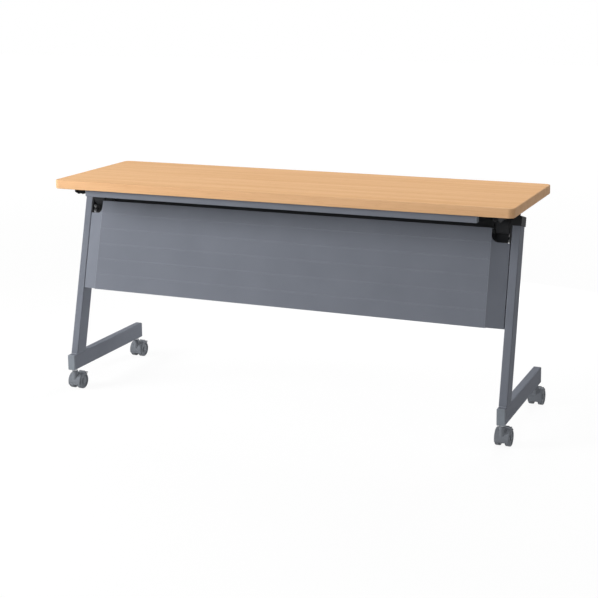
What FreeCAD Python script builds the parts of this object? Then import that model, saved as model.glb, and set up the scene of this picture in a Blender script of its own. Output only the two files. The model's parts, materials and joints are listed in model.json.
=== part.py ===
import FreeCAD, Part
import math
import os

# Conference table with a flip-up top, a fixed modesty panel and twin-wheel casters.
# Millimetres, +Z up, +X along the top, +Y from the panel side towards the sitter.
# The pieces are drawn about the middle of the top and moved by footprint_shift when saved,
# so that the origin lies on the floor under the middle of the whole footprint.

V = FreeCAD.Vector

# Tabletop
top_length = 1500.0
top_depth = 450.0
top_height = 700.0
top_thickness = 28.0
top_corner_radius = 18.0
laminate_thickness = 1.0
edge_band_thickness = 3.0
edge_band_round = 2.5

# Leg tubes: one section serves the feet and the uprights
leg_end_inset = 32.0
leg_tube_width = 25.0
leg_tube_depth = 50.0
leg_tube_wall = 1.6
leg_tube_round = 3.0
leg_lean_deg = 14.04
upright_rise = 20.0
foot_length = 435.0
foot_toe = 20.0
end_cap_thickness = 3.0
end_cap_socket_gap = 0.5
end_cap_round = 1.2
upright_cap_top = 5.0
upright_cap_skirt = 24.0
upright_cap_wall = 2.5
upright_cap_round = 2.0
stop_radius = 7.0
stop_gap = 0.3
stop_forward = 10.0

# Cross beam, which is also the axle that the top turns on
beam_diameter = 42.7
beam_wall = 2.3
beam_drop = 52.0
beam_setback = 44.0
beam_plate_thickness = 5.0
beam_plate_below = 56.0
beam_plate_above = 26.0
beam_plate_round = 6.0
beam_bolt_radius = 4.0
beam_bolt_head_radius = 6.5
beam_bolt_head_height = 3.2
beam_bolt_length = 16.0
beam_bolt_forward = 13.0
beam_bolt_drops = (32.0, 48.0)
beam_bolt_head_round = 1.9
beam_nut_radius = 6.0
beam_nut_length = 9.0

# Hinge castings on the beam, with their nylon bushes
sleeve_length = 40.0
sleeve_wall = 5.5
sleeve_round = 1.6
bush_wall = 2.0
bush_flange_thickness = 2.9
bush_flange_height = 2.5
bush_clearance = 0.05
hinge_side_clearance = 0.6
pedestal_length = 44.0
pedestal_width = 25.0
pad_width = 26.0
pad_length = 90.0
pad_thickness = 7.0
pad_round = 5.5

# Fixed covers on the beam, beside the castings
hinge_cover_length = 30.0
hinge_cover_gap = 1.0
hinge_cover_wall = 8.5
hinge_cover_drop = 57.0
hinge_cover_front = 12.0
hinge_cover_back = 16.0
hinge_cover_round = 10.0

# Steel arms that carry the top
arm_width = 17.0
arm_height = 24.0
arm_sheet = 2.3
arm_front_reach = 142.0
arm_back_reach = 184.0
arm_tip_height = 14.0
arm_tip_length = 20.0
arm_sleeve_gap = 0.3

# Sliding lock under each hinge
lock_drop = 42.0
lock_bolt_diameter = 8.0
lock_bolt_clearance = 0.05
lock_hole_clearance = 0.4
lock_travel = 12.0
lock_bolt_proud = 3.0
lock_bolt_chamfer = 1.0
lock_bore_end_wall = 4.0
lock_end_clearance = 0.5
lock_housing_length = 35.0
lock_housing_wall = 8.0
lock_housing_front = 10.0
lock_housing_back = 18.0
lock_housing_round = 5.0
lock_tab_width = 8.0
lock_tab_thickness = 7.0
lock_tab_clearance = 0.5
lock_paddle_width = 18.0
lock_paddle_height = 20.0
lock_paddle_thickness = 8.0
lock_paddle_gap = 4.0
lock_paddle_round = 3.0

# Stiffening rail behind the front edge
rail_setback = 13.0
rail_height = 21.0
rail_width = 22.0
rail_sheet = 1.6
rail_lip = 10.0
rail_arm_gap = 41.0
rail_cap_thickness = 2.0
rail_cap_plug = 8.0
rail_screw_count = 5
rail_screw_setback = 13.0
rail_screw_end_gap = 20.0

# Wood screws under the top
wood_screw_radius = 2.2
wood_screw_head_radius = 4.5
wood_screw_head_height = 2.4
wood_screw_head_round = 1.0
wood_screw_bite = 16.0
wood_screw_edge_gap = 9.0

# Modesty panel, parallel to the uprights and proud of them
panel_proud = 20.0
panel_sheet = 1.2
panel_top_drop = 15.4
panel_slat_pitch = 49.5
panel_full_slats = 5
panel_head_height = 40.5
panel_return = 16.0
panel_rib_width = 6.0
panel_rib_crest = 1.0
panel_rib_height = 0.7
cover_width = 51.0
cover_sheet = 2.0
cover_lap = 22.0
cover_notch_round = 20.0
spacer_thickness = 2.0
spacer_height = 26.0
spacer_depth = 12.0
spacer_inset = 3.0
spacer_rises = (72.0, 196.0)
panel_screw_radius = 2.5
panel_screw_head_radius = 5.0
panel_screw_head_height = 2.6
panel_screw_length = 13.0

# Casters
caster_height = 70.0
caster_inset = 21.0
caster_trail = 18.0
wheel_diameter = 50.0
wheel_width = 15.5
wheel_gap = 14.5
wheel_round = 2.5
wheel_dish_depth = 2.2
wheel_rim_width = 5.0
wheel_hub_radius = 9.0
wheel_side_clearance = 0.75
axle_radius = 4.0
axle_inset = 2.0
axle_clearance = 0.05
hood_wheel_gap = 1.2
hood_wall = 2.2
hood_round = 3.5
hood_front_drop_deg = 20.0
hood_back_lift_deg = 40.0
hood_web_radius = 9.0
hood_boss_radius = 9.5
hood_boss_gap = 6.0
hood_boss_round = 2.0
stem_radius = 4.5
stem_clearance = 0.05
stem_depth = 26.0
stem_thread_radius = 5.0
stem_thread_length = 22.0
stem_collar_radius = 8.0
stem_collar_gap = 0.3
socket_width = 20.0
socket_round = 2.0
pedal_angle_deg = 45.0
pedal_hub_radius = 4.3
pedal_hub_length = 9.6
pedal_offset = 3.1
pedal_pin_radius = 2.0
pedal_pin_clearance = 0.05
pedal_lug_width = 4.0
pedal_lug_radius = 4.5
pedal_clearance = 0.3
pedal_length = 15.0
pedal_width = 30.0
pedal_thickness = 3.0
pedal_droop_deg = 15.0
pedal_corner_round = 3.0

# How far cutting shapes run past the piece they cut
overcut = 1.0

# The largest angle between an edge and an axis that it is said to follow
axis_slack_deg = 2.5

# Places that follow from the sizes
lean = math.radians(leg_lean_deg)
underside = top_height - top_thickness
foot_bottom = caster_height
foot_top = foot_bottom + leg_tube_depth
beam_y = -beam_setback
beam_height = underside - beam_drop
upright_top_height = beam_height + upright_rise
upright_foot_y = beam_y - (beam_height - foot_top) * math.tan(lean)
leg_middle = top_length / 2 - leg_end_inset
leg_inner = leg_middle - leg_tube_width / 2
leg_outer = leg_middle + leg_tube_width / 2
foot_front = upright_foot_y - leg_tube_depth / 2 / math.cos(lean) - foot_toe
foot_back = foot_front + foot_length
end_cap_plug = caster_inset - socket_width / 2 - end_cap_thickness - end_cap_socket_gap
stem_places = {"front": foot_front + caster_inset, "rear": foot_back - caster_inset}
wheel_radius = wheel_diameter / 2
hood_radius = wheel_radius + hood_wheel_gap + hood_wall
pedal_pivot_radius = hood_radius + pedal_offset
pedal_droop = math.radians(pedal_droop_deg)
pedal_blade_reach = pedal_length * math.cos(pedal_droop) + pedal_thickness / 2 * math.sin(pedal_droop)
pedal_reach = pedal_pivot_radius * math.cos(math.radians(pedal_angle_deg)) + pedal_blade_reach
hood_front = min(caster_trail - hood_radius, -hood_boss_radius)
footprint_front = min(-top_depth / 2, stem_places["front"] + hood_front)
footprint_back = max(top_depth / 2, stem_places["rear"] + caster_trail + pedal_reach)
footprint_shift = V(0, -(footprint_front + footprint_back) / 2, 0)

# Hinge and lock places along X on the right-hand side
beam_radius = beam_diameter / 2
plate_face = leg_inner - beam_plate_thickness
bush_end = plate_face - hinge_side_clearance
sleeve_outer = bush_end - bush_flange_thickness
sleeve_inner = sleeve_outer - sleeve_length
sleeve_radius = beam_radius + bush_clearance + bush_wall + sleeve_wall
arm_outer = sleeve_outer
arm_inner = arm_outer - arm_width
lock_height = beam_height - lock_drop
lock_radius = lock_bolt_diameter / 2
lock_bolt_tip = leg_inner - lock_end_clearance - lock_travel
lock_housing_outer = lock_bolt_tip - lock_bolt_proud
lock_housing_inner = lock_housing_outer - lock_housing_length
lock_bore_inner = lock_housing_inner + lock_bore_end_wall
lock_tab_inner = lock_bore_inner + lock_tab_clearance
lock_tab_outer = lock_tab_inner + lock_tab_width
lock_tab_middle = (lock_tab_inner + lock_tab_outer) / 2
lock_paddle_inner = lock_tab_middle - lock_paddle_width / 2
pad_inner = arm_inner - pad_width
hinge_cover_outer = min(sleeve_inner, lock_housing_inner, lock_paddle_inner, pad_inner) - hinge_cover_gap
rail_half = arm_inner - rail_arm_gap

# Panel places, in the leaning plane of the uprights
leg_front = upright_foot_y - leg_tube_depth / 2
panel_front = leg_front - panel_proud
panel_height = panel_full_slats * panel_slat_pitch + panel_head_height
beam_along = (beam_height - foot_top) / math.cos(lean)
panel_bottom_along = beam_along - panel_top_drop - panel_height
spacer_alongs = [panel_bottom_along + rise for rise in spacer_rises]
panel_bottom = foot_top + panel_bottom_along
cover_top = panel_bottom + panel_full_slats * panel_slat_pitch
panel_top = panel_bottom + panel_height
cover_outer = leg_inner - spacer_thickness
field_half = cover_outer - cover_width

X_AXIS = V(1, 0, 0)
Y_AXIS = V(0, 1, 0)
Z_AXIS = V(0, 0, 1)
CENTRE = V(0, 0, 0)


def box(x0, x1, y0, y1, z0, z1):
    """A block between two corners."""
    return Part.makeBox(x1 - x0, y1 - y0, z1 - z0, V(x0, y0, z0))


def rod_x(x0, x1, y, z, radius):
    """A round bar along X."""
    return Part.makeCylinder(radius, x1 - x0, V(x0, y, z), X_AXIS)


def rod_z(x, y, z0, z1, radius):
    """A round bar along Z."""
    return Part.makeCylinder(radius, z1 - z0, V(x, y, z0), Z_AXIS)


def straight_edges(shape, axis):
    """The straight edges of a shape that run along an axis."""
    lines = [e for e in shape.Edges if isinstance(e.Curve, Part.Line)]
    least_cosine = math.cos(math.radians(axis_slack_deg))
    return [e for e in lines if abs(e.tangentAt(e.FirstParameter).dot(axis)) > least_cosine]


def round_edges(shape, edges, radius):
    """Round some edges of a shape."""
    return shape.makeFillet(radius, edges)


def round_box(x0, x1, y0, y1, z0, z1, radius, axis):
    """A block whose four edges along one axis are rounded."""
    block = box(x0, x1, y0, y1, z0, z1)
    return round_edges(block, straight_edges(block, axis), radius)


def prism(points, travel):
    """A flat outline pushed along a vector."""
    face = Part.Face(Part.makePolygon(points + [points[0]]))
    return face.extrude(travel)


def lean_back(shape):
    """Tip a shape drawn upright back to the lean of the uprights, about the top of the foot."""
    return shape.rotated(V(0, upright_foot_y, foot_top), X_AXIS, -leg_lean_deg)


def leaned(across, along):
    """Where a place in the uprights' own plane lies, as (y, z): across is measured from the tube's
    middle towards the sitter, along from the top of the foot."""
    y = upright_foot_y + across * math.cos(lean) + along * math.sin(lean)
    z = foot_top - across * math.sin(lean) + along * math.cos(lean)
    return y, z


def save(name, *solids):
    """Write one node, with one solid or a group of them."""
    shape = solids[0] if len(solids) == 1 else Part.makeCompound(list(solids))
    shape.translated(footprint_shift).exportStep("parts/" + name + ".step")


def mirrored(shape):
    """The left-hand twin of a right-hand piece."""
    return shape.mirror(CENTRE, X_AXIS)


def save_pair(name, shape):
    """Write a right-hand piece and its left-hand twin."""
    save(name + "_right", shape)
    save(name + "_left", mirrored(shape))


def slab(inset, z0, z1):
    """A layer of the top, drawn in from its outline by an inset."""
    half_x = top_length / 2 - inset
    half_y = top_depth / 2 - inset
    return round_box(-half_x, half_x, -half_y, half_y, z0, z1, top_corner_radius - inset, Z_AXIS)


def rail_screw_places():
    """Where the screws of the front rail go, as (x, y)."""
    y = -top_depth / 2 + rail_setback + rail_screw_setback
    step = 2 * (rail_half - rail_screw_end_gap) / (rail_screw_count - 1)
    return [((i - (rail_screw_count - 1) / 2) * step, y) for i in range(rail_screw_count)]


def arm_screw_places():
    """Where the screws of both arms go, as (x, y)."""
    x = (arm_inner + arm_outer) / 2
    front = beam_y - arm_front_reach
    back = beam_y + arm_back_reach
    end_gap = arm_tip_length + wood_screw_edge_gap
    middle_gap = pedestal_length / 2 + wood_screw_edge_gap
    ys = (front + end_gap, beam_y - middle_gap, beam_y + middle_gap, back - end_gap)
    return [(side * x, y) for side in (-1, 1) for y in ys]


def pad_screw_places():
    """Where the screws of both casting pads go, as (x, y)."""
    x = arm_inner - pad_width / 2
    reach = pad_length / 2 - wood_screw_edge_gap
    return [(side * x, beam_y + end * reach) for side in (-1, 1) for end in (-1, 1)]


def wood_screw(x, y, seat):
    """A pan-head screw driven up into the top; its head hangs below the seat."""
    tip = underside + wood_screw_bite
    shank = rod_z(x, y, seat, tip, wood_screw_radius)
    head = rod_z(x, y, seat - wood_screw_head_height, seat, wood_screw_head_radius)
    low = seat - wood_screw_head_height
    rim = [e for e in head.Edges if e.BoundBox.ZMax < low + wood_screw_head_height / 2]
    head = round_edges(head, rim, wood_screw_head_round)
    return shank.fuse(head)


def screw_holes(places, z0, z1):
    """Pilot holes for a set of screws."""
    return [rod_z(x, y, z0, z1, wood_screw_radius) for x, y in places]


def make_top():
    """Core board with a laminate on each face and a soft band round its edge."""
    all_places = rail_screw_places() + arm_screw_places() + pad_screw_places()
    holes = screw_holes(all_places, underside, underside + wood_screw_bite)
    skin_low = underside + laminate_thickness
    skin_high = top_height - laminate_thickness
    save("tabletop_core", slab(edge_band_thickness, skin_low, skin_high).cut(holes))
    save("tabletop_laminate", slab(edge_band_thickness, skin_high, top_height))
    save("tabletop_backing", slab(edge_band_thickness, underside, skin_low).cut(holes))
    band = slab(0, underside, top_height)
    upright_edges = straight_edges(band, Z_AXIS)
    rims = [e for e in band.Edges if not any(e.isSame(other) for other in upright_edges)]
    band = round_edges(band, rims, edge_band_round)
    save("edge_band", band.cut(slab(edge_band_thickness, underside, top_height)))


def make_rail():
    """A C-shaped stiffening rail screwed under the front edge, with a cap in each end."""
    front = -top_depth / 2 + rail_setback
    back = front + rail_width
    low = underside - rail_height
    t = rail_sheet
    outline = [
        V(-rail_half, front, low),
        V(-rail_half, front + rail_lip, low),
        V(-rail_half, front + rail_lip, low + t),
        V(-rail_half, front + t, low + t),
        V(-rail_half, front + t, underside - t),
        V(-rail_half, back, underside - t),
        V(-rail_half, back, underside),
        V(-rail_half, front, underside),
    ]
    rail = prism(outline, V(2 * rail_half, 0, 0))
    save("front_rail", rail.cut(screw_holes(rail_screw_places(), underside - t, underside)))
    cap = box(rail_half, rail_half + rail_cap_thickness, front, back, low, underside)
    cap = round_edges(cap, straight_edges(cap, X_AXIS)[:1], rail_cap_thickness)
    plug = box(
        rail_half - rail_cap_plug, rail_half, front + t, front + rail_lip, low + t, underside - t)
    cap = cap.fuse(plug)
    save("rail_end_caps", cap, mirrored(cap))


def make_arms():
    """A folded steel arm under each end of the top, open below, with tapered tips."""
    front = beam_y - arm_front_reach
    back = beam_y + arm_back_reach
    low = underside - arm_height
    tip = underside - arm_tip_height
    side = [
        V(arm_inner, front, underside),
        V(arm_inner, front, tip),
        V(arm_inner, front + arm_tip_length, low),
        V(arm_inner, back - arm_tip_length, low),
        V(arm_inner, back, tip),
        V(arm_inner, back, underside),
    ]
    arm = prism(side, V(arm_width, 0, 0))
    hollow = box(
        arm_inner + arm_sheet, arm_outer - arm_sheet, front - overcut, back + overcut,
        low - overcut, underside - arm_sheet)
    sleeve_relief = rod_x(
        arm_inner - overcut, arm_outer + overcut, beam_y, beam_height, sleeve_radius + arm_sleeve_gap)
    arm = arm.cut([hollow, sleeve_relief])
    right = [place for place in arm_screw_places() if place[0] > 0]
    arm = arm.cut(screw_holes(right, underside - arm_sheet, underside))
    save_pair("hinge_arm", arm)


def make_wood_screws():
    """The alike screws that hold the rail, the arms and the casting pads to the top."""
    seats = [(x, y, underside - rail_sheet) for x, y in rail_screw_places()]
    seats += [(x, y, underside - arm_sheet) for x, y in arm_screw_places()]
    seats += [(x, y, underside - pad_thickness) for x, y in pad_screw_places()]
    save("wood_screws", *[wood_screw(x, y, seat) for x, y, seat in seats])


def make_castings():
    """The casting that turns on the beam: sleeve, pedestal up into the arm, and a pad under the top."""
    half = pedestal_length / 2
    low = underside - arm_height
    sleeve = rod_x(sleeve_inner, sleeve_outer, beam_y, beam_height, sleeve_radius)
    rims = [e for e in sleeve.Edges if isinstance(e.Curve, Part.Circle)]
    sleeve = round_edges(sleeve, rims, sleeve_round)
    foot = box(
        sleeve_outer - pedestal_width, sleeve_outer, beam_y - half, beam_y + half, beam_height, low)
    tongue_inner = arm_inner + arm_sheet
    tongue_outer = arm_outer - arm_sheet
    tongue = box(tongue_inner, tongue_outer, beam_y - half, beam_y + half, low, underside - arm_sheet)
    rib = box(
        sleeve_outer - pedestal_width, arm_inner, beam_y - half, beam_y + half, beam_height, underside)
    pad_half = pad_length / 2
    pad = round_box(
        pad_inner, arm_inner, beam_y - pad_half, beam_y + pad_half,
        underside - pad_thickness, underside, pad_round, Z_AXIS)
    casting = sleeve.fuse([foot, tongue, rib, pad]).removeSplitter()
    bore = rod_x(
        sleeve_inner - overcut, sleeve_outer + overcut, beam_y, beam_height, sleeve_radius - sleeve_wall)
    right = [place for place in pad_screw_places() if place[0] > 0]
    casting = casting.cut([bore] + screw_holes(right, underside - pad_thickness, underside))
    save_pair("hinge_casting", casting)


def make_bushes():
    """A nylon bush between the beam and each casting, with a thrust flange against the beam plate."""
    outer = sleeve_radius - sleeve_wall
    tube = rod_x(sleeve_inner, sleeve_outer, beam_y, beam_height, outer)
    flange = rod_x(sleeve_outer, bush_end, beam_y, beam_height, outer + bush_flange_height)
    bore = rod_x(
        sleeve_inner - overcut, bush_end + overcut, beam_y, beam_height, beam_radius + bush_clearance)
    save_pair("hinge_bush", tube.fuse(flange).cut(bore))


def make_hinge_covers():
    """A fixed cover clamped on the beam at the inner side of each hinge, with a rounded lobe below."""
    x1 = hinge_cover_outer
    x0 = x1 - hinge_cover_length
    low = beam_height - hinge_cover_drop
    front = beam_y - hinge_cover_front
    back = beam_y + hinge_cover_back
    lobe = box(x0, x1, front, back, low, beam_height)
    low_edges = [e for e in straight_edges(lobe, X_AXIS) if e.BoundBox.ZMax < beam_height - beam_radius]
    lobe = round_edges(lobe, low_edges, hinge_cover_round)
    ring = rod_x(x0, x1, beam_y, beam_height, beam_radius + hinge_cover_wall)
    bore = rod_x(x0 - overcut, x1 + overcut, beam_y, beam_height, beam_radius)
    cover = ring.fuse(lobe).cut(bore)
    save("hinge_covers", cover, mirrored(cover))


def make_locks():
    """A lock under each hinge: housing on the casting, sliding bolt, and a finger tab on the bolt."""
    low = lock_height - lock_radius - lock_housing_wall
    front = beam_y - lock_housing_front
    back = beam_y + lock_housing_back
    housing = box(lock_housing_inner, lock_housing_outer, front, back, low, beam_height)
    low_edges = [e for e in straight_edges(housing, Y_AXIS) if e.BoundBox.ZMax < lock_height]
    inner_edge = [e for e in low_edges if e.BoundBox.XMax < lock_housing_outer - overcut]
    housing = round_edges(housing, inner_edge, lock_housing_round)
    bore_radius = lock_radius + lock_bolt_clearance
    bore = rod_x(lock_bore_inner, lock_housing_outer + overcut, beam_y, lock_height, bore_radius)
    half_tab = lock_tab_thickness / 2
    slot_half = half_tab + lock_tab_clearance
    slot_outer = lock_tab_outer + lock_travel + lock_tab_clearance
    slot = box(
        lock_bore_inner, slot_outer, beam_y, back + overcut, lock_height - slot_half, lock_height + slot_half)
    seat = rod_x(
        lock_housing_inner - overcut, lock_housing_outer + overcut, beam_y, beam_height, sleeve_radius)
    save_pair("lock_housing", housing.cut([bore, slot, seat]))
    bolt = rod_x(lock_tab_inner, lock_bolt_tip, beam_y, lock_height, lock_radius)
    rims = [e for e in bolt.Edges if isinstance(e.Curve, Part.Circle)]
    tip = [e for e in rims if e.BoundBox.XMin > lock_housing_outer]
    save_pair("lock_bolt", bolt.makeChamfer(lock_bolt_chamfer, tip))
    paddle_front = back + lock_paddle_gap
    paddle_back = paddle_front + lock_paddle_thickness
    half_height = lock_paddle_height / 2
    paddle = round_box(
        lock_paddle_inner, lock_paddle_inner + lock_paddle_width, paddle_front, paddle_back,
        lock_height - half_height, lock_height + half_height, lock_paddle_round, Y_AXIS)
    stem = box(
        lock_tab_inner, lock_tab_outer, beam_y, paddle_front,
        lock_height - half_tab, lock_height + half_tab)
    bolt_seat = rod_x(
        lock_tab_inner - overcut, lock_tab_outer + overcut, beam_y, lock_height, lock_radius)
    save_pair("lock_tab", paddle.fuse(stem).cut(bolt_seat))


def beam_bolt_places():
    """Where the beam bolts go through the right-hand plate, as (y, z)."""
    return [leaned(-beam_bolt_forward, beam_along - drop) for drop in beam_bolt_drops]


def make_beam():
    """A round tube from leg to leg, welded to a plate at each end that is bolted to the upright."""
    outer = rod_x(-plate_face, plate_face, beam_y, beam_height, beam_radius)
    inner = rod_x(-plate_face, plate_face, beam_y, beam_height, beam_radius - beam_wall)
    save("cross_beam", outer.cut(inner))
    plate_middle = foot_top + beam_along
    half = leg_tube_depth / 2
    plate = round_box(
        plate_face, leg_inner, upright_foot_y - half, upright_foot_y + half,
        plate_middle - beam_plate_below, plate_middle + beam_plate_above, beam_plate_round, X_AXIS)
    plate = lean_back(plate)
    holes = [rod_x(plate_face, leg_inner, y, z, beam_bolt_radius) for y, z in beam_bolt_places()]
    holes.append(rod_x(plate_face, leg_inner, beam_y, lock_height, lock_radius + lock_hole_clearance))
    save_pair("beam_plate", plate.cut(holes))
    bolts = []
    nuts = []
    nut_start = leg_inner + leg_tube_wall
    for y, z in beam_bolt_places():
        head = rod_x(plate_face - beam_bolt_head_height, plate_face, y, z, beam_bolt_head_radius)
        rim = [e for e in head.Edges if e.BoundBox.XMax < plate_face - beam_bolt_head_height / 2]
        head = round_edges(head, rim, beam_bolt_head_round)
        shank = rod_x(plate_face, plate_face + beam_bolt_length, y, z, beam_bolt_radius)
        bolts.append(head.fuse(shank))
        nut = rod_x(nut_start, nut_start + beam_nut_length, y, z, beam_nut_radius)
        bore = rod_x(nut_start, nut_start + beam_nut_length, y, z, beam_bolt_radius)
        nuts.append(nut.cut(bore))
    save("beam_bolts", *bolts, *[mirrored(bolt) for bolt in bolts])
    save("beam_nuts", *nuts, *[mirrored(nut) for nut in nuts])


def leg_tube(y0, y1, z0, z1, axis):
    """A length of the leg section along Y or Z, as a solid bar and its hollow."""
    t = leg_tube_wall
    bar = round_box(leg_inner, leg_outer, y0, y1, z0, z1, leg_tube_round, axis)
    along_y = axis == Y_AXIS
    dy = 0 if along_y else t
    dz = t if along_y else 0
    hollow = round_box(
        leg_inner + t, leg_outer - t, y0 + dy, y1 - dy, z0 + dz, z1 - dz, leg_tube_round - t, axis)
    return bar, hollow


def spacer_screw_places():
    """Where the panel screws enter the right-hand upright, as (y, z)."""
    across = -leg_tube_depth / 2 + spacer_inset + spacer_depth / 2
    return [leaned(across, along) for along in spacer_alongs]


def make_uprights():
    """Two leaning uprights cut level at the foot, with a black cap over each head."""
    length = (upright_top_height - foot_top) / math.cos(lean)
    half = leg_tube_depth / 2
    bar, hollow = leg_tube(
        upright_foot_y - half, upright_foot_y + half, foot_top - leg_tube_depth, foot_top + length, Z_AXIS)
    below = box(
        leg_inner - overcut, leg_outer + overcut, foot_front - leg_tube_depth, foot_back, 0, foot_top)
    tube = lean_back(bar.cut(hollow)).cut(below)
    wall_end = leg_inner + leg_tube_wall
    holes = [rod_x(leg_inner, wall_end, y, z, beam_bolt_radius) for y, z in beam_bolt_places()]
    holes += [rod_x(leg_inner, wall_end, y, z, panel_screw_radius) for y, z in spacer_screw_places()]
    save_pair("upright", tube.cut(holes))
    wall = upright_cap_wall
    head = foot_top + length
    front = upright_foot_y - half
    back = upright_foot_y + half
    skirt = head - upright_cap_skirt
    cap = box(leg_inner, leg_outer + wall, front - wall, back + wall, skirt, head + upright_cap_top)
    rims = [e for e in cap.Edges if e.BoundBox.ZMin > head and e.BoundBox.XMax > leg_middle]
    rims += [e for e in straight_edges(cap, Z_AXIS) if e.BoundBox.XMin > leg_middle]
    cap = round_edges(cap, rims, upright_cap_round)
    core = round_box(leg_inner, leg_outer, front, back, skirt, head, leg_tube_round, Z_AXIS)
    opening = box(leg_inner, leg_middle, front, back, skirt, head)
    cap = lean_back(cap.cut([core, opening]))
    save_pair("upright_cap", cap)
    y, z = leaned(-stop_forward, length)
    stop = rod_z(leg_middle, y, z, underside - stop_gap, stop_radius).cut(cap).cut(lean_back(core))
    save("stop_buffers", stop, mirrored(stop))


def make_feet():
    """Two level feet with a plastic cap in each end and threaded sockets for the casters."""
    front = foot_front + end_cap_thickness
    back = foot_back - end_cap_thickness
    bar, hollow = leg_tube(front, back, foot_bottom, foot_top, Y_AXIS)
    t = leg_tube_wall
    stem_ys = stem_places.values()
    bores = [rod_z(leg_middle, y, foot_bottom, foot_bottom + t, stem_thread_radius) for y in stem_ys]
    save_pair("foot", bar.cut(hollow).cut(bores))
    caps = []
    ends = ((foot_front, front, front + end_cap_plug), (foot_back, back, back - end_cap_plug))
    for end, seat, plug_end in ends:
        y0, y1 = sorted((end, seat))
        face = round_box(leg_inner, leg_outer, y0, y1, foot_bottom, foot_top, leg_tube_round, Y_AXIS)
        outside = (end - seat) / 2 + seat
        rim = [e for e in face.Edges if (e.BoundBox.Center.y - outside) * (end - seat) > 0]
        rim = [e for e in rim if e.BoundBox.YLength < end_cap_thickness / 2]
        face = round_edges(face, rim, end_cap_round)
        y0, y1 = sorted((seat, plug_end))
        plug = round_box(
            leg_inner + t, leg_outer - t, y0, y1, foot_bottom + t, foot_top - t, leg_tube_round - t, Y_AXIS)
        caps.append(face.fuse(plug))
    save("foot_end_caps", *caps, *[mirrored(cap) for cap in caps])
    sockets = []
    low = foot_bottom + t
    half = socket_width / 2
    high = foot_bottom + stem_thread_length
    for y in stem_ys:
        nut = round_box(
            leg_middle - half, leg_middle + half, y - half, y + half, low, high, socket_round, Z_AXIS)
        bore = rod_z(leg_middle, y, low, high, stem_thread_radius)
        sockets.append(nut.cut(bore))
    save("caster_sockets", *sockets, *[mirrored(socket) for socket in sockets])


def make_panel():
    """The ribbed panel between the legs, folded back along its top and bottom."""
    t = panel_sheet
    back = panel_front + panel_return
    outline = [V(-field_half, back, panel_bottom), V(-field_half, panel_front, panel_bottom)]
    for i in range(panel_full_slats):
        along = panel_bottom + (i + 1) * panel_slat_pitch
        crest = panel_front - panel_rib_height
        outline.append(V(-field_half, panel_front, along - panel_rib_width / 2))
        outline.append(V(-field_half, crest, along - panel_rib_crest / 2))
        outline.append(V(-field_half, crest, along + panel_rib_crest / 2))
        outline.append(V(-field_half, panel_front, along + panel_rib_width / 2))
    outline += [
        V(-field_half, panel_front, panel_top),
        V(-field_half, back, panel_top),
        V(-field_half, back, panel_top - t),
        V(-field_half, panel_front + t, panel_top - t),
        V(-field_half, panel_front + t, panel_bottom + t),
        V(-field_half, back, panel_bottom + t),
    ]
    save("modesty_panel", lean_back(prism(outline, V(2 * field_half, 0, 0))))


def make_covers():
    """A slanted cover at each end of the panel, notched above so that the hinge can swing through."""
    t = cover_sheet
    lap_front = panel_front + panel_sheet
    rise = panel_proud / cover_width
    slant = math.hypot(1, rise)
    flange_back = leg_front + spacer_inset + spacer_depth
    z = panel_bottom + panel_sheet
    inner_face = cover_outer - t
    inner_bend = leg_front - t * rise + t * slant
    lap_bend = field_half + (lap_front + t - panel_front - t * slant) / rise
    outline = [
        V(field_half - cover_lap, lap_front, z),
        V(field_half, lap_front, z),
        V(field_half, panel_front, z),
        V(cover_outer, leg_front, z),
        V(cover_outer, flange_back, z),
        V(inner_face, flange_back, z),
        V(inner_face, inner_bend, z),
        V(lap_bend, lap_front + t, z),
        V(field_half - cover_lap, lap_front + t, z),
    ]
    cover = prism(outline, V(0, 0, panel_top - panel_sheet - z))
    notch = box(
        field_half, leg_outer, panel_front - overcut, flange_back + overcut, cover_top, panel_top + overcut)
    inner_edges = [e for e in straight_edges(notch, Y_AXIS) if e.BoundBox.XMax < leg_inner]
    corner = [e for e in inner_edges if e.BoundBox.ZMax < panel_top]
    notch = round_edges(notch, corner, cover_notch_round)
    cover = lean_back(cover.cut(notch))
    holes = [rod_x(inner_face, cover_outer, y, z, panel_screw_radius) for y, z in spacer_screw_places()]
    save_pair("panel_cover", cover.cut(holes))
    spacers = []
    screws = []
    for along, (y, z) in zip(spacer_alongs, spacer_screw_places()):
        low = foot_top + along - spacer_height / 2
        block = box(
            cover_outer, leg_inner, leg_front + spacer_inset, flange_back, low, low + spacer_height)
        spacers.append(lean_back(block).cut(rod_x(cover_outer, leg_inner, y, z, panel_screw_radius)))
        head = rod_x(inner_face - panel_screw_head_height, inner_face, y, z, panel_screw_head_radius)
        shank = rod_x(inner_face, inner_face + panel_screw_length, y, z, panel_screw_radius)
        screws.append(head.fuse(shank))
    save("panel_spacers", *spacers, *[mirrored(spacer) for spacer in spacers])
    save("panel_screws", *screws, *[mirrored(screw) for screw in screws])


def make_stems():
    """Four caster stems: thread up in the foot, collar under it, plain pin down in the hood."""
    stems = []
    boss_top = caster_height - hood_boss_gap
    collar_low = boss_top + stem_collar_gap
    for side in (-1, 1):
        for y in stem_places.values():
            x = side * leg_middle
            thread = rod_z(x, y, foot_bottom, foot_bottom + stem_thread_length, stem_thread_radius)
            collar = rod_z(x, y, collar_low, foot_bottom, stem_collar_radius)
            pin = rod_z(x, y, boss_top - stem_depth + stem_collar_gap, collar_low, stem_radius)
            stems.append(thread.fuse([collar, pin]))
    save("caster_stems", *stems)


def pedal_pivot(y):
    """The brake pedal's pin behind the hood, as (y, z), for a caster whose axle is at y."""
    angle = math.radians(pedal_angle_deg)
    reach = pedal_pivot_radius
    return y + reach * math.cos(angle), wheel_radius + reach * math.sin(angle)


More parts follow.
